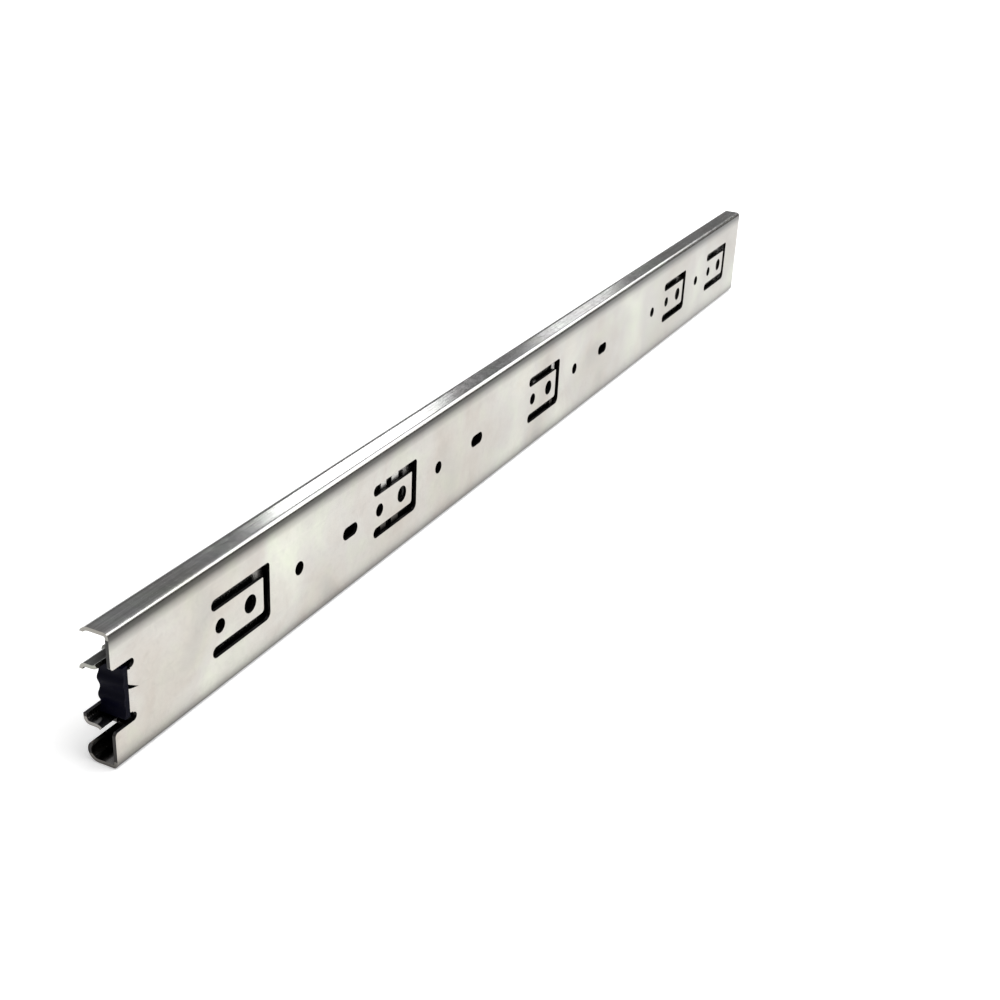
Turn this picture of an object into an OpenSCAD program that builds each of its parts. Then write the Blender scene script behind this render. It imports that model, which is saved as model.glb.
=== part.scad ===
// Full-extension ball-bearing drawer slide, closed.
// Three rolled steel members run inside one another on four rows of balls:
// a cabinet member, an intermediate member and a drawer member.
// +X is the way the drawer opens, +Y points from the cabinet wall to the drawer,
// +Z is up. The origin is at the front end of the cabinet member, on its
// mounting face, half way up.

/* [Slide] */
// Closed length of the slide
slide_len = 545; // [545:0.5:550]
// Height of the cabinet member
slide_h = 45.7; // [45.5:0.1:46]
// Thickness from the cabinet wall to the drawer side
slide_t = 12.7; // [12.7:0.1:13.2]
// Thickness of the steel sheet
sheet = 1.2; // [1.15:0.01:1.2]

/* [Balls and races] */
// Diameter of a bearing ball
ball_d = 4.76; // [4.6:0.02:4.8]
// Radius of the rolled races
race_r = 2.5; // [2.5:0.01:2.52]
// Distance of every ball row from the cabinet wall
row_y = 7.1; // [7.1:0.05:7.2]
// Distance between neighbouring balls in a cluster
ball_pitch = 12; // [8:1:14]
// Number of balls in a cluster
cluster_n = 6; // [3:1:7]

/* [Travel] */
// How far the intermediate member runs out of the cabinet member
mid_travel = 272; // [240:1:272]
// How far the drawer member runs out of the intermediate member
drawer_travel = 273; // [240:1:273]

/* [Holes in the cabinet member] */
// Distance of the first grid hole position from the front end
grid_start = 34.5; // [33:0.5:37]
// Grid that every hole position follows
grid_pitch = 32; // [32:0.1:32.2]
// Diameter of the large screw hole in a tab
tab_hole_d = 6.4; // [5:0.1:7]
// Diameter of the small screw hole in a tab
tab_pilot_d = 5; // [4:0.1:5.4]
// Diameter of the plain screw holes
plain_hole_d = 5; // [4:0.1:5.4]
// Length of the oblong adjusting holes
oblong_len = 9.6; // [7:0.1:11]
// Width of the oblong adjusting holes
oblong_w = 4.8; // [4:0.1:5.4]

/* [Bracket-shaped tab slots] */
// Width of the slot cut round a tab
slot_w = 4.1; // [3:0.1:4.4]
// Height from the middle line to the middle of a slot arm
slot_arm_z = 8.4; // [8:0.1:8.8]
// Reach of the slot arms behind the large hole
slot_back = 20.2; // [18:0.1:21]
// Reach of the slot in front of the large hole
slot_front = 10.9; // [10:0.1:12]
// Width of the slot's upright bar
slot_bar = 3.7; // [3:0.1:4.2]

/* [Rear bumper] */
// Distance of the bumper's rear face from the rear end
bumper_x = 5; // [4.5:0.1:5.4]
// Height of the rubber bumper
bumper_h = 17.2; // [15:0.1:17.4]
// Depth of the waves on the bumper's rear face and free side
bumper_wave = 0.5; // [0.4:0.1:1]

/* [Release lever] */
// Distance of the lever's pivot behind the front end
lever_x = 255; // [254.8:0.1:255]
// Diameter of the lever's pivot rivet
pivot_d = 4; // [3:0.1:4.2]

/* [Hidden] */
$fn = 48;
// cutters run this far past the faces they open, and added lugs start this far inside
past = 1;
bite = 0.2;
half_h = slide_h / 2;
rear_x = -slide_len;

// sections: ball rows, bends and where the rolled edges stop, as angles round a ball
outer_row = half_h - sheet - race_r;
inner_row = outer_row - 2 * race_r - sheet;
drawer_top = inner_row - race_r;
bend_o = 1.8;
drawer_bend = 2.2;
curl_end = -50;
mid_curl_end = -35;
drawer_lip = 233;

// web of the intermediate member, with its tight bend under the outer balls
mid_y = 2.5;
crest_r = 0.3;
crest_y = mid_y + sheet + crest_r;
crest_gap = race_r + sheet + crest_r;
crest_z = outer_row - sqrt(crest_gap * crest_gap - pow(row_y - crest_y, 2));
crest_a = atan2(outer_row - crest_z, row_y - crest_y);
drawer_y = slide_t - sheet;

// ends of the members in the closed slide
mid_rear = rear_x + 11.2;
mid_web_rear = rear_x + 13.6;
mid_web_cut = 12;
mid_front = -3;
drawer_web_rear = rear_x + 11;

// holes of the cabinet member: a tab's large hole stands in front of its grid place
tab_shift = 4;
pilot_back = 16;
tab_steps = [0, 2, 7, 11, 14];
plain_steps = [1, 3, 6, 10, 13];
oblong_steps = [5, 9, 12];
// corner radii of a tab slot: outside above, outside below, inside above, inside below
slot_corners = [1.5, 2.6, 0.4, 1.4];
slot_mouth = 9;

// notch at the rear of the cabinet member's web, and the tongue bent in from its root
root_x = rear_x + 8.1;
notch_half = 10.5;
relief_r = 1.45;
relief_top_x = root_x + 0.4;
relief_low_x = root_x + 0.1;
ear_tip_r = 1.3;
tongue_half = 7.2;
tongue_bend = 1.4;
tongue_reach = 8.6;
plate_rear = root_x - tongue_bend;
plate_front = plate_rear + sheet;
nick_len = 3.2;
nick_top = 2.4;
nick_low = 0.8;
nick_tip_z = -0.2;
// length over which the upper rolled edge is trimmed away
trim_len = 14;
trim_y = row_y - 2;
trim_low = notch_half - 0.5;
trim_high = half_h - 2;

// rubber bumper round the tongue
bumper_y0 = 0.3;
bumper_y1 = 9.9;
bumper_front = rear_x + 12.8;
bumper_waves = 3;
bumper_gap = 0.7;

// driver windows and closing stop in the intermediate member
window_places = [-120, -272, -424];
window_len = 30;
window_h = 13;
stud_x = mid_web_rear + 6;
stud_d = 5;
stop_x = mid_web_rear + 0.6;
stop_len = 10;
stop_half = 6.5;
stop_y = 10.6;
stop_slit = 1.2;
slit_z = 4;
slit_start = 2;
slit_floor = 1.5;
// clear gap between the closing stop and the drawer member's tab
close_gap = 0.3;

// drawer member: hole places, ears at the rear end, closing tab
drawer_hole_places = [-35, -451];
drawer_oblong_places = [-67, -419];
drawer_hole_d = 4.6;
drawer_oblong_len = 8.6;
ear_y = 11.4;
ear_stub = 1.4;
tab_y = 9.2;
tab_half = 5;
tab_x0 = stop_x + stop_len + close_gap;

// ball cages: sheet, strip width, clear gap round a ball, web windows
cage_t = 0.8;
web_cage_t = 0.6;
pocket_gap = 0.02;
cage_lip = 2.05;
cage_end = 12.5;
cage_bar = 3;
cage_end_slot = 3.8;
cage_windows = 5;
cage_margin = 5;
outer_cage_y = 1.5;
inner_cage_y = 4.0;
outer_cage_front = -6.5 - mid_travel / 2;
outer_cage_rear = mid_rear + 2.5 + mid_travel / 2;
inner_cage_front = -26 - drawer_travel / 2;
inner_cage_rear = rear_x + 10 + drawer_travel / 2;
cluster_edge = 9;
pocket_h = 4;

// lugs that hold the cages: at the front of the cabinet and intermediate members,
// at the rear of the intermediate and drawer members
cabinet_lug_x = -6.2;
mid_front_lug_x = -25.5;
mid_rear_lug_x = mid_rear + 0.4;
drawer_lug_x = rear_x + 8;
// reach of each lug across the slide, and how far it rises past a ball row
cabinet_lug_y = 4;
cabinet_lug_low = outer_row - 0.4;
cabinet_lug_high = outer_row + 1.2;
outer_lug_half = 0.6;
outer_lug_low = crest_z + 0.9;
front_lug_y = 5.6;
front_lug_low = inner_row - 1;
front_lug_high = inner_row + 0.4;
rear_lug_y = 5.8;
rear_lug_half = 0.9;
drawer_lug_y0 = row_y - 0.8;
drawer_lug_y1 = row_y + 1.2;
drawer_lug_high = inner_row + 0.2;

// lever: plate in front of the drawer member's web, catch on the intermediate web
lever_y0 = 7.2;
lever_y1 = drawer_y - 0.3;
lever_half = 2.6;
boss_d = 9.2;
pivot_play = 0.12;
hook_x = drawer_travel - lever_x + 18.3;
hook_t = 4.7;
hook_low = 8.2;
pad_x = 28;
pad_r = 4.3;
pad_top = 6;
pad_len = 16;
leaf_z = 4.2;
leaf_x0 = -20;
leaf_x1 = -2;
leaf_t = 1;
leaf_tip_h = 2.6;
leaf_root_w = 2.4;
leaf_root_h = 3.2;
guide_x = 18;
guide_d = 3;
guide_slot_w = 3.5;
guide_lift = 2.6;
catch_x = -18;
catch_y = 9;
catch_z0 = -8.5;
catch_z1 = -5;
rivet_head_y = 6.1;
rivet_seat_y = 6.9;
pivot_head_d = 6;
guide_head_d = 5.6;

function grid_x(step) = -grid_start - step * grid_pitch;
function tab_x(step) = grid_x(step) + tab_shift;

// ---------- helpers ----------

// Sweeps a (Y, Z) section along X
module run(x0, x1) {
    translate([x0, 0, 0])
        rotate([90, 0, 90])
            linear_extrude(x1 - x0) children();
}

// Band between two radii, from angle a0 up to angle a1 (less than 180 apart)
module arc_band(y, z, r0, r1, a0, a1) {
    reach = 4 * r1;
    am = (a0 + a1) / 2;
    translate([y, z])
        intersection() {
            difference() {
                circle(r1);
                circle(r0);
            }
            polygon([
                [0, 0],
                [reach * cos(a0), reach * sin(a0)],
                [reach * cos(am), reach * sin(am)],
                [reach * cos(a1), reach * sin(a1)]
            ]);
        }
}

// A half section and its mirror image below the middle line
module both_halves() {
    children();
    mirror([0, 1]) children();
}

// Solid on both sides of the middle plane
module above_and_below() {
    children();
    mirror([0, 0, 1]) children();
}

// Box given by two corners
module block(a, b) {
    translate(a) cube(b - a);
}

// Round bar along Y on the middle line
module pin(x, d, y0, y1) {
    translate([x, y0, 0])
        rotate([-90, 0, 0])
            cylinder(d = d, h = y1 - y0);
}

// Cutter for a round hole in a web that starts at y
module hole(x, d, y) {
    pin(x, d, y - past, y + sheet + past);
}

// Cutter for an oblong hole along X in a web that starts at y
module oblong(x, len, w, y) {
    reach = (len - w) / 2;
    for (s = [-1, 1])
        hole(x + s * reach, w, y);
    block([x - reach, y - past, -w / 2], [x + reach, y + sheet + past, w / 2]);
}

// Raises an (X, Z) outline into a solid between y0 and y1
module across(y0, y1) {
    translate([0, y1, 0])
        rotate([90, 0, 0])
            linear_extrude(y1 - y0) children();
}

// ---------- sections ----------

module cabinet_half() {
    square([sheet, half_h - bend_o]);
    arc_band(bend_o, half_h - bend_o, bend_o - sheet, bend_o, 90, 180);
    translate([bend_o, half_h - sheet]) square([row_y - bend_o, sheet]);
    arc_band(row_y, outer_row, race_r, race_r + sheet, curl_end, 90);
}

module intermediate_half() {
    translate([mid_y, 0]) square([sheet, crest_z]);
    arc_band(crest_y, crest_z, crest_r, crest_r + sheet, crest_a, 180);
    // short bridge across the line where the two bends meet
    translate([crest_y, crest_z])
        rotate(crest_a)
            translate([crest_r + 0.1, -0.1])
                square([sheet - 0.2, 0.2]);
    arc_band(row_y, outer_row, race_r, race_r + sheet, 180 + crest_a, 270);
    arc_band(row_y, inner_row, race_r, race_r + sheet, mid_curl_end, 90);
}

module drawer_half() {
    translate([drawer_y, 0]) square([sheet, drawer_top - drawer_bend]);
    arc_band(slide_t - drawer_bend, drawer_top - drawer_bend,
             drawer_bend - sheet, drawer_bend, 0, 90);
    translate([row_y, drawer_top - sheet])
        square([slide_t - drawer_bend - row_y, sheet]);
    arc_band(row_y, inner_row, race_r, race_r + sheet, drawer_lip, 270);
}

// ---------- cabinet member ----------

// Outline in (X, Z) with round corners of different size at its front end
module round_fronted(x0, x1, z0, z1, r_low, r_high) {
    translate([x0, z0 + r_low]) square([x1 - x0, z1 - z0 - r_low - r_high]);
    translate([x0, z0]) square([x1 - x0 - r_low, r_low]);
    translate([x0, z1 - r_high]) square([x1 - x0 - r_high, r_high]);
    translate([x1 - r_low, z0 + r_low]) circle(r_low);
    translate([x1 - r_high, z1 - r_high]) circle(r_high);
}

// Bracket-shaped slot, open towards the rear, round one tab
module tab_slot(x) {
    r = slot_w / 2;
    front = x + slot_front;
    back = x - slot_back + r;
    outer_z = slot_arm_z + r;
    inner_z = slot_arm_z - r;
    across(-past, sheet + past) {
        difference() {
            round_fronted(back, front, -outer_z, outer_z, slot_corners[1], slot_corners[0]);
            round_fronted(back - slot_mouth, front - slot_bar, -inner_z, inner_z,
                          slot_corners[3], slot_corners[2]);
        }
        for (s = [-1, 1])
            translate([back, s * slot_arm_z]) circle(r);
    }
}

// Round relief beside the tongue's root, with its upper or lower edge at z = side * notch_half
module relief(x, side) {
    z = side * (notch_half - relief_r);
    translate([x, z]) circle(relief_r);
    translate([root_x - past, z - relief_r]) square([x - root_x + past, 2 * relief_r]);
}

// What rounds the tip of an ear of the web; side is 1 above and -1 below the notch
module ear_tip(side) {
    translate([rear_x, side * notch_half])
        difference() {
            translate([-past, -ear_tip_r]) square([past + ear_tip_r, 2 * ear_tip_r]);
            translate([ear_tip_r, side * ear_tip_r]) circle(ear_tip_r);
        }
}

// Opening at the rear of the web, with round reliefs beside the tongue's root
module rear_notch() {
    across(-past, sheet + past) {
        translate([rear_x - past, -notch_half])
            square([root_x - rear_x + past, 2 * notch_half]);
        relief(relief_top_x, 1);
        relief(relief_low_x, -1);
        ear_tip(1);
        ear_tip(-1);
    }
}

// Tongue bent ninety degrees into the channel; it carries the bumper
module tongue() {
    translate([0, 0, -tongue_half])
        linear_extrude(2 * tongue_half) {
            translate([root_x, 0]) square([sheet / 2, sheet]);
            arc_band(root_x, tongue_bend, tongue_bend - sheet, tongue_bend, 180, 270);
            translate([plate_rear, tongue_bend]) square([sheet, tongue_reach - tongue_bend]);
        }
}

// Lugs that stop the outer cage at full extension
module cabinet_cage_stops() {
    above_and_below()
        block([cabinet_lug_x, sheet - bite, cabinet_lug_low],
              [cabinet_lug_x + sheet, cabinet_lug_y, cabinet_lug_high]);
}

// Slanting wedge nicked into the root of the tongue
module root_nick() {
    across(-past, sheet + bite)
        polygon([[root_x - past, nick_top], [root_x + nick_len, nick_tip_z], [root_x - past, nick_low]]);
}

module cabinet_member() {
    color("silver") {
        difference() {
            run(rear_x, 0) both_halves() cabinet_half();
            for (s = tab_steps) {
                tab_slot(tab_x(s));
                hole(tab_x(s), tab_hole_d, 0);
                hole(tab_x(s) - pilot_back, tab_pilot_d, 0);
            }
            for (s = plain_steps)
                hole(grid_x(s), plain_hole_d, 0);
            for (s = oblong_steps)
                oblong(grid_x(s), oblong_len, oblong_w, 0);
            rear_notch();
            root_nick();
            // the upper rolled edge is trimmed away at the rear end
            block([rear_x - past, trim_y, trim_low],
                  [rear_x + trim_len, slide_t, trim_high]);
        }
        difference() {
            tongue();
            root_nick();
        }
        cabinet_cage_stops();
    }
}

// Height of step i of n along the bumper, and the depth of its wave there
function wave_z(i, n) = bumper_h * (i / n - 0.5);
function wave_depth(i, n) = bumper_wave * (1 - cos(360 * bumper_waves * i / n)) / 2;

// Bumper outline in (X, Z), wavy at the rear
module bumper_side(n = 48) {
    polygon([
        for (i = [0 : n]) [rear_x + bumper_x + wave_depth(i, n), wave_z(i, n)],
        [bumper_front, bumper_h / 2],
        [bumper_front, -bumper_h / 2]
    ]);
}

// Bumper outline in (Y, Z), wavy on the side away from the cabinet
module bumper_face(n = 48) {
    polygon([
        for (i = [0 : n]) [bumper_y1 - wave_depth(i, n), wave_z(i, n)],
        [bumper_y0, bumper_h / 2],
        [bumper_y0, -bumper_h / 2]
    ]);
}

module rear_bumper() {
    color("#15151c")
        difference() {
            intersection() {
                across(0, slide_t) bumper_side();
                run(rear_x, bumper_front) bumper_face();
            }
            // room for the tongue, its bend and the web
            block([plate_rear, tongue_bend, -tongue_half],
                  [plate_front, tongue_reach, tongue_half]);
            translate([root_x, tongue_bend, -bumper_h])
                cylinder(r = tongue_bend, h = 2 * bumper_h);
            block([root_x - bumper_gap, -past, -bumper_h],
                  [bumper_front + past, sheet + bumper_gap, bumper_h]);
        }
}

// ---------- intermediate member ----------

module intermediate_member() {
    inside = mid_y + sheet;
    color("silver") {
        difference() {
            run(mid_rear, mid_front) both_halves() intermediate_half();
            // web cut back from the bumper
            block([mid_rear - past, mid_y - past, -mid_web_cut],
                  [mid_web_rear, inside + bite, mid_web_cut]);
            // windows that let a driver reach the screws behind
            for (x = window_places)
                oblong(x, window_len, window_h, mid_y);
            // hole for the closing stop's stud
            hole(stud_x, stud_d, mid_y);
        }
        // lug that the lever hooks behind at full extension
        block([catch_x, inside - bite, catch_z0], [catch_x + sheet, catch_y, catch_z1]);
        above_and_below() {
            // lug that stops the outer cage
            block([mid_rear_lug_x, crest_y - outer_lug_half, outer_lug_low],
                  [mid_rear_lug_x + sheet, crest_y + outer_lug_half, outer_row + outer_lug_half]);
            // lugs that keep the inner cage in at both ends
            block([mid_front_lug_x, inside - bite, front_lug_low],
                  [mid_front_lug_x + sheet, front_lug_y, front_lug_high]);
            block([mid_rear, inside - bite, inner_row - rear_lug_half],
                  [mid_rear + sheet, rear_lug_y, inner_row + rear_lug_half]);
        }
    }
}

// Plastic block that the drawer member closes against
module closing_stop() {
    color("#202024") {
        difference() {
            block([stop_x, mid_y + sheet, -stop_half], [stop_x + stop_len, stop_y, stop_half]);
            // slots that make the two sides springy
            for (z = [-slit_z, slit_z])
                block([stop_x + slit_start, mid_y + sheet + slit_floor, z - stop_slit / 2],
                      [stop_x + stop_len + past, stop_y + past, z + stop_slit / 2]);
        }
        pin(stud_x, stud_d, mid_y, mid_y + sheet);
    }
}

// ---------- drawer member ----------

module drawer_member() {
    color("silver") {
        difference() {
            run(rear_x, 0) both_halves() drawer_half();
            // web and bends cut back so the flanges pass each side of the bumper
            block([rear_x - past, ear_y - drawer_bend, -half_h],
                  [drawer_web_rear, slide_t + past, half_h]);
            // screw holes along the middle line
            for (x = drawer_hole_places)
                hole(x, drawer_hole_d, drawer_y);
            for (x = drawer_oblong_places)
                oblong(x, drawer_oblong_len, drawer_hole_d, drawer_y);
            // rivet holes for the lever
            hole(-lever_x, pivot_d, drawer_y);
            hole(-lever_x + guide_x, guide_d, drawer_y);
        }
        // flange ears pinched in at the rear end; the lower one is taller
        run(rear_x, drawer_web_rear) {
            both_halves()
                arc_band(ear_y - drawer_bend, drawer_top - drawer_bend,
                         drawer_bend - sheet, drawer_bend, 0, 90);
            translate([ear_y - sheet, drawer_bend - drawer_top]) square([sheet, ear_stub]);
        }
        // bent tab that meets the closing stop
        block([tab_x0, tab_y, -tab_half],
              [tab_x0 + sheet, drawer_y + bite, tab_half]);
        // lugs that stop the inner cage
        above_and_below()
            block([drawer_lug_x, drawer_lug_y0, drawer_top - bite],
                  [drawer_lug_x + sheet, drawer_lug_y1, drawer_lug_high]);
    }
}

// Lever outline in (X, Z) about its pivot: hook at the rear, thumb pad in front
module lever_outline() {
    hook_rear = -hook_x - hook_t;
    translate([hook_rear, -lever_half]) square([pad_x - past - hook_rear, 2 * lever_half]);
    translate([hook_rear, -hook_low]) square([hook_t, hook_low + lever_half]);
    circle(d = boss_d);
    translate([pad_x - pad_len, -lever_half]) square([pad_len, lever_half + pad_top]);
    translate([pad_x, pad_top - pad_r]) circle(r = pad_r);
    // leaf that springs against the drawer member's flange
    translate([leaf_x0, leaf_z]) square([leaf_x1 - leaf_x0, leaf_t]);
    translate([leaf_x0, leaf_z]) square([sheet, leaf_tip_h]);
    translate([leaf_x1 + leaf_t - leaf_root_w, leaf_z + leaf_t - leaf_root_h])
        square([leaf_root_w, leaf_root_h]);
}

module release_lever() {
    color("#1c1c20")
        translate([-lever_x, lever_y1, 0])
            rotate([90, 0, 0])
                linear_extrude(lever_y1 - lever_y0)
                    difference() {
                        lever_outline();
                        circle(d = pivot_d + pivot_play);
                        // slot that the guide rivet runs in
                        for (z = [0, guide_lift])
                            translate([guide_x, z]) circle(d = guide_slot_w);
                        translate([guide_x - guide_slot_w / 2, 0])
                            square([guide_slot_w, guide_lift]);
                    }
}

// Rivet through the drawer member's web, its flat head on the lever
module lever_rivet(x, d, head_d) {
    color("gainsboro") {
        pin(x, d, rivet_seat_y, slide_t);
        pin(x, head_d, rivet_head_y, rivet_seat_y);
    }
}

module lever_pivot_rivet() {
    lever_rivet(-lever_x, pivot_d, pivot_head_d);
}

module lever_guide_rivet() {
    lever_rivet(-lever_x + guide_x, guide_d, guide_head_d);
}

// ---------- ball cages and balls ----------

// X position of ball i in the front or the rear cluster of a cage
function ball_x(rear, front, at_front, i) = at_front
    ? front - cluster_edge - i * ball_pitch
    : rear + cluster_edge + i * ball_pitch;

// Channel-shaped cage: a web with windows and two strips with ball pockets
module cage(rear, front, y, row) {
    top = row + cage_t / 2;
    open_z = row - cage_margin;
    step = (front - rear - 2 * cage_end) / cage_windows;
    clear_y = y + web_cage_t + past;
    difference() {
        union() {
            block([rear, y, -top], [front, y + web_cage_t, top]);
            above_and_below()
                block([rear, y, row - cage_t / 2], [front, row_y + cage_lip, top]);
        }
        for (at_front = [true, false], i = [0 : cluster_n - 1], s = [-1, 1])
            translate([ball_x(rear, front, at_front, i), row_y, s * row - pocket_h / 2])
                cylinder(d = ball_d + 2 * pocket_gap, h = pocket_h);
        // a narrow window near each end and wide ones between
        for (x = [rear + cage_end_slot, front - 2 * cage_end_slot])
            block([x, y - past, -open_z], [x + cage_end_slot, clear_y, open_z]);
        for (i = [0 : cage_windows - 1])
            block([rear + cage_end + i * step, y - past, -open_z],
                  [rear + cage_end + (i + 1) * step - cage_bar, clear_y, open_z]);
    }
}

module ball_cluster(rear, front, at_front, z) {
    color("gainsboro")
        for (i = [0 : cluster_n - 1])
            translate([ball_x(rear, front, at_front, i), row_y, z])
                sphere(d = ball_d);
}

module outer_cage() {
    color("darkgray")
        cage(outer_cage_rear, outer_cage_front, outer_cage_y, outer_row);
}

module inner_cage() {
    color("darkgray")
        cage(inner_cage_rear, inner_cage_front, inner_cage_y, inner_row);
}

module outer_balls(at_front, side) {
    ball_cluster(outer_cage_rear, outer_cage_front, at_front, side * outer_row);
}

module inner_balls(at_front, side) {
    ball_cluster(inner_cage_rear, inner_cage_front, at_front, side * inner_row);
}

// ---------- drawing ----------

cabinet_member();
rear_bumper();
intermediate_member();
closing_stop();
drawer_member();
release_lever();
lever_pivot_rivet();
lever_guide_rivet();
outer_cage();
outer_balls(true, 1);  // outer_balls_upper_front
outer_balls(false, 1);  // outer_balls_upper_rear
outer_balls(true, -1);  // outer_balls_lower_front
outer_balls(false, -1);  // outer_balls_lower_rear
inner_cage();
inner_balls(true, 1);  // inner_balls_upper_front
inner_balls(false, 1);  // inner_balls_upper_rear
inner_balls(true, -1);  // inner_balls_lower_front
inner_balls(false, -1);  // inner_balls_lower_rear
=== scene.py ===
"""Ball-bearing drawer slide on a pale floor: camera, soft light and materials."""

import math

import bpy
from mathutils import Matrix, Vector


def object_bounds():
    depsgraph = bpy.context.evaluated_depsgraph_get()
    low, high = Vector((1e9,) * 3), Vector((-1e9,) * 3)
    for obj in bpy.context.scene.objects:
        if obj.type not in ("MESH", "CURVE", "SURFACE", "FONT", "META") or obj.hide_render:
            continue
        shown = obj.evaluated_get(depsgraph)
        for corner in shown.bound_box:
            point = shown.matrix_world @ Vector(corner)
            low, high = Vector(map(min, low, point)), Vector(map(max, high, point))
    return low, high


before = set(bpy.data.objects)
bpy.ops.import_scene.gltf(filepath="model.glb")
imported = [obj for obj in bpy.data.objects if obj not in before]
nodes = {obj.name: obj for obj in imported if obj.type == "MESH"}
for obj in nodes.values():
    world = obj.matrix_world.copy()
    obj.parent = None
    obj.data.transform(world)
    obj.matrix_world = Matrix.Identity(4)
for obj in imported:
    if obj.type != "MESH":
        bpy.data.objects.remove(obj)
cad_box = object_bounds()
lo, hi = cad_box

MM = 1000  # millimetres in a metre

# zinc plating: position in the clouds, brightness and colour cast
CLOUD_TINTS = [
    (0.30, 0.72, (0.98, 1.0, 1.01)),
    (0.44, 0.93, (1.02, 1.0, 0.97)),
    (0.54, 1.0, (1.0, 1.0, 1.0)),
    (0.66, 1.20, (0.98, 1.01, 0.96))]
PATCH_TINTS = [(0.30, (0.95, 0.92, 0.91)), (0.50, (1.0, 1.0, 1.0)), (0.70, (1.02, 1.06, 1.0))]
STAIN_TINTS = [(0.28, 0.93), (0.5, 1.0), (0.75, 1.04)]
STREAK_TINTS = [(0.3, 0.985), (0.7, 1.015)]
GRAIN_TINTS = [(0.3, 0.965), (0.7, 1.03)]
# rolling streaks on the faces that look up, more contrasty there, under a cooler cast that is a
# painted reflection
TOP_STREAKS_COOL_REFLECTION = [(0.3, (0.80, 0.82, 0.88)), (0.7, (1.10, 1.13, 1.22))]
CUT_END = (0.55, 0.55, 0.55)
# painted shade on the walls of the holes in the web
HOLE_WALL_SHADE = (0.16, 0.16, 0.17)

# painted shade on the cabinet member's web, as brightness from its lower edge (0) to its upper
# edge (1)
WEB_SHADE_ACROSS = [
    (0.015, 0.20), (0.042, 0.60), (0.085, 0.86), (0.17, 0.93), (0.50, 0.97),
    (0.76, 1.0), (0.86, 0.94), (0.915, 0.52), (0.945, 0.18), (0.975, 0.12)]

# steel: cloudy dulling, and the tint of the cages' lower strips
STEEL_TINTS = [(0.3, 0.86), (0.7, 1.05)]
LOWER_STRIP = (0.10, 0.09, 0.08)


# ---------- node helpers ----------

def new_material(name):
    """A material with one Principled shader; gives the material, its tree and the shader."""
    mat = bpy.data.materials.new(name)
    mat.use_nodes = True
    tree = mat.node_tree
    tree.nodes.clear()
    out = tree.nodes.new("ShaderNodeOutputMaterial")
    shader = tree.nodes.new("ShaderNodeBsdfPrincipled")
    tree.links.new(shader.outputs[0], out.inputs[0])
    return mat, tree, shader


def mm_coords(tree, stretch=(1, 1, 1), offset=(0, 0, 0)):
    """Object coordinates in millimetres, each axis multiplied by stretch."""
    coord = tree.nodes.new("ShaderNodeTexCoord")
    mapping = tree.nodes.new("ShaderNodeMapping")
    mapping.inputs["Scale"].default_value = [MM * s for s in stretch]
    mapping.inputs["Location"].default_value = offset
    tree.links.new(coord.outputs["Object"], mapping.inputs["Vector"])
    return mapping.outputs["Vector"]


def axes(tree, vector):
    """The x, y and z of a vector socket."""
    node = tree.nodes.new("ShaderNodeSeparateXYZ")
    tree.links.new(vector, node.inputs[0])
    return node.outputs


def normal_and_place(tree):
    """The x, y and z of the surface's own normal, and of its place on the part in metres."""
    coord = tree.nodes.new("ShaderNodeTexCoord")
    return axes(tree, coord.outputs["Normal"]), axes(tree, coord.outputs["Object"])


def noise(tree, vector, scale, detail=2.0, rough=0.5, distortion=0.0):
    node = tree.nodes.new("ShaderNodeTexNoise")
    node.inputs["Scale"].default_value = scale
    node.inputs["Detail"].default_value = detail
    node.inputs["Roughness"].default_value = rough
    node.inputs["Distortion"].default_value = distortion
    tree.links.new(vector, node.inputs["Vector"])
    return node.outputs["Fac"]


def ramp(tree, fac, stops):
    """Colour ramp; stops are (position, grey value or (r, g, b))."""
    node = tree.nodes.new("ShaderNodeValToRGB")
    band = node.color_ramp
    while len(band.elements) > 1:
        band.elements.remove(band.elements[-1])
    for i, (pos, col) in enumerate(stops):
        e = band.elements[0] if i == 0 else band.elements.new(pos)
        e.position = pos
        rgb = (col, col, col) if isinstance(col, (int, float)) else col
        e.color = (*rgb, 1.0)
    tree.links.new(fac, node.inputs["Fac"])
    return node.outputs["Color"]


def mix(tree, kind, fac, a, b):
    """Mix two colours; fac, a and b are sockets or plain values."""
    node = tree.nodes.new("ShaderNodeMix")
    node.data_type = "RGBA"
    node.blend_type = kind
    for socket, value in ((node.inputs[0], fac), (node.inputs[6], a), (node.inputs[7], b)):
        if isinstance(value, bpy.types.NodeSocket):
            tree.links.new(value, socket)
        else:
            socket.default_value = value if isinstance(value, float) else (*value, 1.0)
    return node.outputs[2]


def multiply(tree, colour, by, fac=1.0):
    """One colour times another, as far as fac says."""
    return mix(tree, "MULTIPLY", fac, colour, by)


def spread(tree, fac, low, high, from_low=0.3, from_high=0.7):
    """Turns from_low...from_high into low...high, and holds the ends."""
    node = tree.nodes.new("ShaderNodeMapRange")
    node.inputs["From Min"].default_value = from_low
    node.inputs["From Max"].default_value = from_high
    node.inputs["To Min"].default_value = low
    node.inputs["To Max"].default_value = high
    tree.links.new(fac, node.inputs["Value"])
    return node.outputs["Result"]


def bump(tree, height, distance, strength=1.0, normal=None):
    """Bumped normal; distance is in metres."""
    node = tree.nodes.new("ShaderNodeBump")
    node.inputs["Distance"].default_value = distance
    node.inputs["Strength"].default_value = strength
    tree.links.new(height, node.inputs["Height"])
    if normal is not None:
        tree.links.new(normal, node.inputs["Normal"])
    return node.outputs["Normal"]


def math_node(tree, kind, a, b=0.0):
    """One maths step; a and b are sockets or plain numbers."""
    node = tree.nodes.new("ShaderNodeMath")
    node.operation = kind
    for socket, value in zip(node.inputs, (a, b)):
        if isinstance(value, bpy.types.NodeSocket):
            tree.links.new(value, socket)
        else:
            socket.default_value = value
    return node.outputs[0]


# ---------- masks and shades ----------

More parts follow.
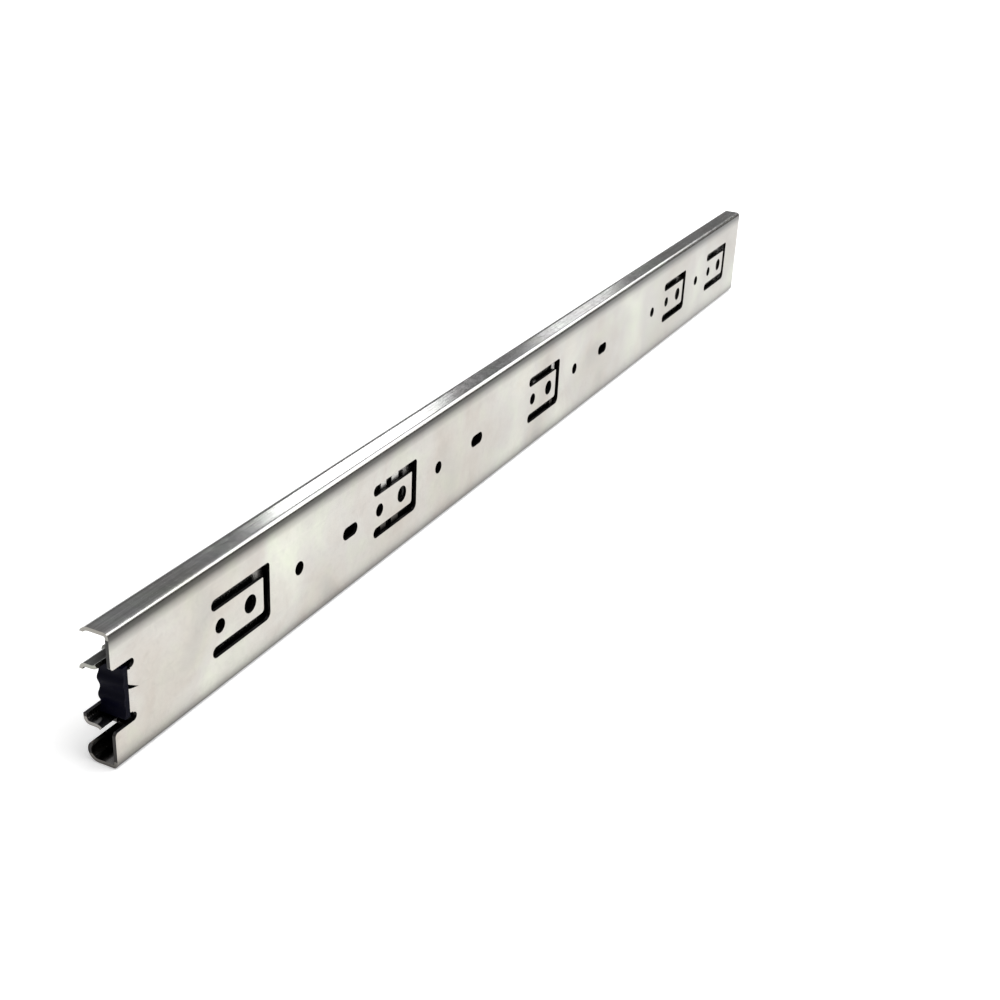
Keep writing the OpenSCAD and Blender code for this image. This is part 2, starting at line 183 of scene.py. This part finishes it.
def crevice_shade(tree, reach_mm, dark, closed=0.25):
    """Painted shade: grey that falls from 1 on open faces to dark in gaps and hollows."""
    half_open = closed + 0.3
    wide_open = closed + 0.6
    node = tree.nodes.new("ShaderNodeAmbientOcclusion")
    node.samples = 6
    node.inputs["Distance"].default_value = reach_mm / MM
    stops = [(closed, dark), (half_open, 0.45), (wide_open, 1.0)]
    return ramp(tree, node.outputs["AO"], stops)


def cut_faces(tree, web_half):
    """Masks of a rolled sheet's sheared faces: its two ends, and hole walls within web_half mm."""
    most_sideways = 0.35
    least_endwise = 0.8
    normal, place = normal_and_place(tree)
    sideways = math_node(tree, "ABSOLUTE", normal[1])
    endwise = math_node(tree, "ABSOLUTE", normal[0])
    upright = math_node(tree, "LESS_THAN", sideways, most_sideways)
    in_web = math_node(tree, "LESS_THAN", math_node(tree, "ABSOLUTE", place[2]), web_half / MM)
    ends = math_node(tree, "GREATER_THAN", endwise, least_endwise)
    walls = math_node(tree, "MULTIPLY", upright, in_web)
    return ends, walls


def rolled_shade(tree, half_mm, length_mm):
    """Painted shade: darkens the cabinet member's web by its bends and towards the front, and on
    its rolled edges.
    """
    front_light = 0.70
    edges_from = 0.72
    normal, place = normal_and_place(tree)
    height = math_node(tree, "MULTIPLY", place[2], MM / half_mm)
    along = math_node(tree, "MULTIPLY", place[0], MM / length_mm)
    outward = math_node(tree, "MULTIPLY", normal[1], -1.0)
    downward = math_node(tree, "MULTIPLY", normal[2], -1.0)

    facing = spread(tree, outward, 0.0, 1.0, from_low=0.80, from_high=0.95)
    web = ramp(tree, spread(tree, height, 0.0, 1.0, from_low=-1.0, from_high=1.0), WEB_SHADE_ACROSS)
    to_front = spread(tree, along, 1.0, front_light, from_low=-0.92, from_high=-0.05)
    web = math_node(tree, "MULTIPLY", web, to_front)
    web_loss = math_node(tree, "MULTIPLY", facing, math_node(tree, "SUBTRACT", 1.0, web))

    # painted shade on the lower bend only: its normal points both down and out
    down = spread(tree, downward, 0.0, 0.9, from_low=0.05, from_high=0.3)
    out = spread(tree, outward, 0.0, 1.0, from_low=0.3, from_high=0.6)
    under = math_node(tree, "MULTIPLY", down, out)
    # painted shade on the faces that look to the drawer side
    curl = spread(tree, normal[1], 0.0, 0.3, from_low=0.15, from_high=0.6)
    outside = math_node(tree, "GREATER_THAN", math_node(tree, "ABSOLUTE", height), edges_from)
    rolled = math_node(tree, "MULTIPLY", outside, math_node(tree, "MAXIMUM", under, curl))
    return math_node(tree, "SUBTRACT", 1.0, math_node(tree, "MAXIMUM", web_loss, rolled))


def top_faces(tree):
    """Mask that is 1 on faces that look up."""
    normal, _ = normal_and_place(tree)
    return spread(tree, normal[2], 0.0, 1.0, from_low=0.5, from_high=0.9)


# ---------- materials ----------

def zinc(name, base, rough, offset, web_half, crevice_mm=16.0, closed=0.42, bend_sizes=None):
    """Bright zinc plating on rolled sheet: cloudy tint, stains, rolling streaks and fine grain,
    with painted shade in hollows and on hole walls, a painted cool reflection on faces that look
    up, and painted shade across the web when bend_sizes is given.
    """
    mat, tree, shader = new_material(name)
    plain = mm_coords(tree, offset=offset)
    along_rolls = mm_coords(tree, stretch=(0.02, 1.0, 1.0), offset=offset)
    clouds = noise(tree, plain, scale=0.016, detail=2.0, rough=0.5, distortion=0.4)
    patches = noise(tree, plain, scale=0.06, detail=3.0, rough=0.55, distortion=0.6)
    stains = noise(tree, plain, scale=0.35, detail=4.0, rough=0.65, distortion=1.0)
    streaks = noise(tree, along_rolls, scale=1.3, detail=3.0, rough=0.6)
    grain = noise(tree, plain, scale=3.0, detail=3.0, rough=0.7)
    top = top_faces(tree)
    ends, walls = cut_faces(tree, web_half)

    tints = [(pos, [c * k * bright for c, k in zip(base, cast)])
             for pos, bright, cast in CLOUD_TINTS]
    colour = ramp(tree, clouds, tints)
    colour = multiply(tree, colour, ramp(tree, patches, PATCH_TINTS))
    colour = multiply(tree, colour, ramp(tree, stains, STAIN_TINTS))
    colour = multiply(tree, colour, ramp(tree, streaks, STREAK_TINTS))
    # painted cool reflection on the faces that look up, over their real rolling streaks
    colour = multiply(tree, colour, ramp(tree, streaks, TOP_STREAKS_COOL_REFLECTION), fac=top)
    colour = multiply(tree, colour, ramp(tree, grain, GRAIN_TINTS))
    colour = multiply(tree, colour, CUT_END, fac=ends)
    # painted shade on the hole walls
    colour = multiply(tree, colour, HOLE_WALL_SHADE, fac=walls)
    # painted shade in gaps and hollows
    colour = multiply(tree, colour, crevice_shade(tree, crevice_mm, dark=0.03, closed=closed))
    # painted shade across the web and on its rolled edges
    if bend_sizes:
        colour = multiply(tree, colour, rolled_shade(tree, *bend_sizes))
    tree.links.new(colour, shader.inputs["Base Color"])
    shader.inputs["Metallic"].default_value = 1.0

    cut_extra = math_node(tree, "MULTIPLY", math_node(tree, "MAXIMUM", ends, walls), 0.2)
    top_less = math_node(tree, "MULTIPLY", top, 0.05)
    stained = spread(tree, stains, rough - 0.04, rough + 0.06)
    change = math_node(tree, "SUBTRACT", cut_extra, top_less)
    tree.links.new(math_node(tree, "ADD", stained, change), shader.inputs["Roughness"])

    normal = bump(tree, grain, distance=0.00001, strength=0.25)
    normal = bump(tree, streaks, distance=0.00003, strength=0.3, normal=normal)
    tree.links.new(normal, shader.inputs["Normal"])
    return mat


def steel(name, base, rough, lower_dark=False):
    """Plain pressed or polished steel with fine drawing marks and painted shade in gaps."""
    mat, tree, shader = new_material(name)
    plain = mm_coords(tree)
    drawn = mm_coords(tree, stretch=(0.1, 1.0, 1.0))
    marks = noise(tree, drawn, scale=4.0, detail=3.0, rough=0.6)
    dull = noise(tree, plain, scale=0.3, detail=3.0, rough=0.6)
    colour = multiply(tree, base, ramp(tree, dull, STEEL_TINTS))
    # painted shade in gaps and hollows
    colour = multiply(tree, colour, crevice_shade(tree, reach_mm=7.0, dark=0.3))
    if lower_dark:
        # the lower strip is kept darker than the upper one; this is a look only
        low = spread(tree, axes(tree, plain)[2], 1.0, 0.0, from_low=-6.0, from_high=2.0)
        colour = multiply(tree, colour, LOWER_STRIP, fac=low)
    tree.links.new(colour, shader.inputs["Base Color"])
    shader.inputs["Metallic"].default_value = 1.0
    tree.links.new(spread(tree, marks, rough * 0.8, rough * 1.25), shader.inputs["Roughness"])
    tree.links.new(bump(tree, marks, distance=0.00001, strength=0.3), shader.inputs["Normal"])
    return mat


def rubber(name, base, sheen_rough, gloss=0.5):
    """Moulded rubber or plastic: a faint bloom in patches and a pebbled skin."""
    mat, tree, shader = new_material(name)
    plain = mm_coords(tree)
    bloom = noise(tree, plain, scale=0.5, detail=4.0, rough=0.6, distortion=0.4)
    skin = noise(tree, plain, scale=6.0, detail=2.0, rough=0.6)
    bloomed = [c * 2.0 + 0.002 for c in base]
    colour = mix(tree, "MIX", ramp(tree, bloom, [(0.45, 0.0), (0.8, 0.35)]), base, bloomed)
    tree.links.new(colour, shader.inputs["Base Color"])
    shader.inputs["Specular IOR Level"].default_value = gloss
    roughness = spread(tree, bloom, sheen_rough - 0.07, sheen_rough + 0.1)
    tree.links.new(roughness, shader.inputs["Roughness"])
    tree.links.new(bump(tree, skin, distance=0.00003, strength=0.4), shader.inputs["Normal"])
    return mat


materials = {
    "cabinet_member": zinc("zinc_cabinet", (0.543, 0.526, 0.494), rough=0.20,
                           offset=(0, 0, 0), web_half=20.5, crevice_mm=9.0, closed=0.25,
                           bend_sizes=(hi.z * MM, (hi.x - lo.x) * MM)),
    "intermediate_member": zinc("zinc_intermediate", (0.53, 0.51, 0.49), rough=0.24,
                                offset=(140, 30, 7), web_half=14.0),
    "drawer_member": zinc("zinc_drawer", (0.54, 0.52, 0.50), rough=0.24,
                          offset=(310, 11, 40), web_half=8.0),
    "outer_cage": steel("cage_steel", (0.62, 0.61, 0.58), rough=0.34, lower_dark=True),
    "outer_balls_upper_front": steel("ball_steel", (0.80, 0.80, 0.80), rough=0.09),
    "lever_pivot_rivet": steel("rivet_steel", (0.66, 0.66, 0.64), rough=0.28),
    "rear_bumper": rubber("bumper_rubber", (0.0010, 0.0009, 0.0055), sheen_rough=0.42, gloss=0.03),
    "closing_stop": rubber("stop_plastic", (0.025, 0.025, 0.03), sheen_rough=0.45),
    "release_lever": rubber("lever_plastic", (0.02, 0.02, 0.024), sheen_rough=0.42),
}
like = {"inner_cage": "outer_cage", "lever_guide_rivet": "lever_pivot_rivet"}
for name, obj in nodes.items():
    source = like.get(name, "outer_balls_upper_front" if "balls" in name else name)
    obj.data.materials.clear()
    obj.data.materials.append(materials[source])


# ---------- floor, light and camera ----------

def make_floor(half_size=40.0, gap=0.0002, glow=0.36):
    """White paper floor just under the slide, with a faint glow that keeps it even."""
    mesh = bpy.data.meshes.new("floor")
    z = lo.z - gap
    corners = [(-half_size, -half_size, z), (half_size, -half_size, z),
               (half_size, half_size, z), (-half_size, half_size, z)]
    mesh.from_pydata(corners, [], [(0, 1, 2, 3)])
    floor = bpy.data.objects.new("floor", mesh)
    bpy.context.scene.collection.objects.link(floor)
    mat, tree, shader = new_material("floor_paper")
    fibre = noise(tree, mm_coords(tree), scale=0.02, detail=2.0)
    colour = multiply(tree, (0.9, 0.9, 0.9), ramp(tree, fibre, [(0.3, 0.99), (0.7, 1.0)]))
    tree.links.new(colour, shader.inputs["Base Color"])
    shader.inputs["Roughness"].default_value = 0.9
    shader.inputs["Emission Color"].default_value = (1.0, 1.0, 1.0, 1.0)
    shader.inputs["Emission Strength"].default_value = glow
    floor.data.materials.append(mat)


def direction(azimuth, elevation):
    """Unit vector towards azimuth (0 is +X, 90 is +Y) and elevation, in degrees."""
    a, e = math.radians(azimuth), math.radians(elevation)
    return Vector((math.cos(a) * math.cos(e), math.sin(a) * math.cos(e), math.sin(e)))


def add_light(name, data, away, place):
    """Puts a light at place, shining from the direction away."""
    light = bpy.data.objects.new(name, data)
    light.location = place
    light.rotation_mode = "QUATERNION"
    light.rotation_quaternion = away.to_track_quat("Z", "Y")
    bpy.context.scene.collection.objects.link(light)


def area_light(name, azimuth, elevation, distance, size, power, target):
    """Soft box that looks at target."""
    away = direction(azimuth, elevation)
    data = bpy.data.lights.new(name, "AREA")
    data.shape = "RECTANGLE"
    data.size, data.size_y = size
    data.energy = power
    add_light(name, data, away, target + away * distance)


def sun_light(name, azimuth, elevation, softness, strength):
    """Large soft light from far away, so the floor is as bright in the distance as near by."""
    data = bpy.data.lights.new(name, "SUN")
    data.angle = math.radians(softness)
    data.energy = strength
    add_light(name, data, direction(azimuth, elevation), (0, 0, 0))


def make_world():
    """Grey surroundings that get brighter overhead."""
    world = bpy.data.worlds.new("studio")
    bpy.context.scene.world = world
    world.use_nodes = True
    tree = world.node_tree
    tree.nodes.clear()
    out = tree.nodes.new("ShaderNodeOutputWorld")
    back = tree.nodes.new("ShaderNodeBackground")
    coord = tree.nodes.new("ShaderNodeTexCoord")
    height = axes(tree, coord.outputs["Generated"])[2]
    sky = ramp(tree, height, [(0.0, 0.42), (0.12, 0.44), (0.45, 0.50), (0.8, 1.0)])
    tree.links.new(sky, back.inputs["Color"])
    back.inputs["Strength"].default_value = 0.45
    tree.links.new(back.outputs[0], out.inputs[0])


def make_camera():
    """Long lens behind the rear end, looking along the slide and down on it."""
    data = bpy.data.cameras.new("camera")
    data.sensor_width = 36.0
    data.lens = 54.144
    data.clip_start, data.clip_end = 0.01, 50.0
    cam = bpy.data.objects.new("camera", data)
    forward = Vector((0.81301, 0.38809, -0.43406)).normalized()
    up = Vector((0.36901, 0.23322, 0.89969))
    right = forward.cross(up).normalized()
    up = right.cross(forward)
    turn = Matrix((right, up, -forward)).transposed()
    cam.rotation_mode = "QUATERNION"
    cam.rotation_quaternion = turn.to_quaternion()
    cam.location = (-0.82064, -0.24957, 0.24186)
    bpy.context.scene.collection.objects.link(cam)
    bpy.context.scene.camera = cam


make_floor()
make_world()
sun_light("key", azimuth=-60, elevation=66, softness=50, strength=1.9)
area_light("front_fill", azimuth=-75, elevation=42, distance=1.5,
           size=(1.4, 0.8), power=3.8, target=(lo + hi) / 2)
# small soft boxes for the bright patches on the upper flange and the bright line of its bend
area_light("glint", azimuth=31.7, elevation=24.8, distance=1.7,
           size=(0.25, 0.24), power=0.62, target=Vector((-0.415, 0.0, 0.0)))
area_light("second_glint", azimuth=23, elevation=19, distance=1.7,
           size=(0.12, 0.16), power=0.10, target=Vector((-0.23, 0.0, 0.0)))
area_light("bend_glint", azimuth=-14, elevation=33, distance=1.7,
           size=(1.5, 0.75), power=7.5, target=Vector((-0.45, 0.0, 0.0)))
make_camera()
bpy.context.scene.view_settings.view_transform = "Standard"
